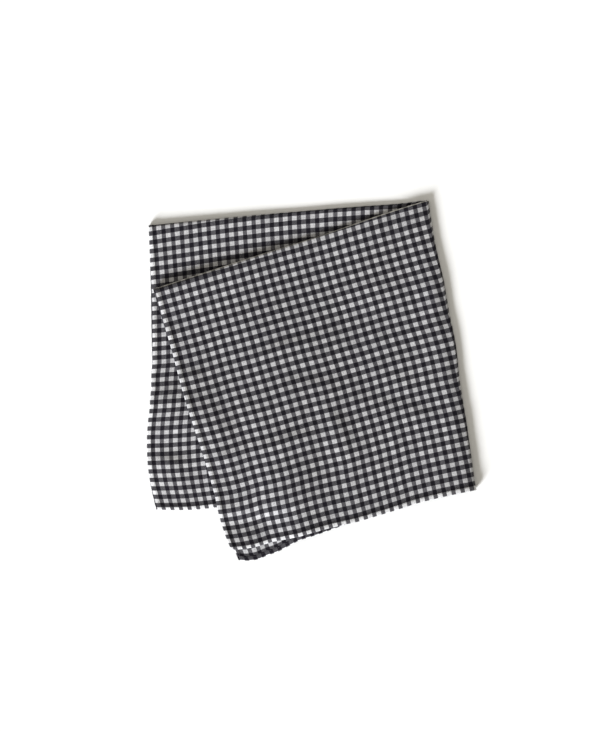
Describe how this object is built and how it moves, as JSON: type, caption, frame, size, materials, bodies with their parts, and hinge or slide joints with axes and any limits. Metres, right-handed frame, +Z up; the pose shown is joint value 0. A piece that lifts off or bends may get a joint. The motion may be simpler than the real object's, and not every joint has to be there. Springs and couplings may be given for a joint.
{
  "type": "folded square scarf",
  "caption": "Square cotton scarf in black and white gingham with a narrow hem, folded in quarters and lying flat, its upper pair of layers turned a little askew",
  "frame": {"origin": "on the surface that the scarf lies on, under the middle of its outline", "axes": "X right and Y up the folded scarf as seen from above, Y towards the two top folds, Z up out of the surface"},
  "size_m": [0.3119, 0.3408, 0.0123],
  "materials": {
    "gingham_cotton": "matt plain-woven cotton, checked in near-black and off-white, with mid grey where the two cross"
  },
  "bodies": {
    "root": {"scarf_cloth": "gingham_cotton"}
  },
  "joints": []
}
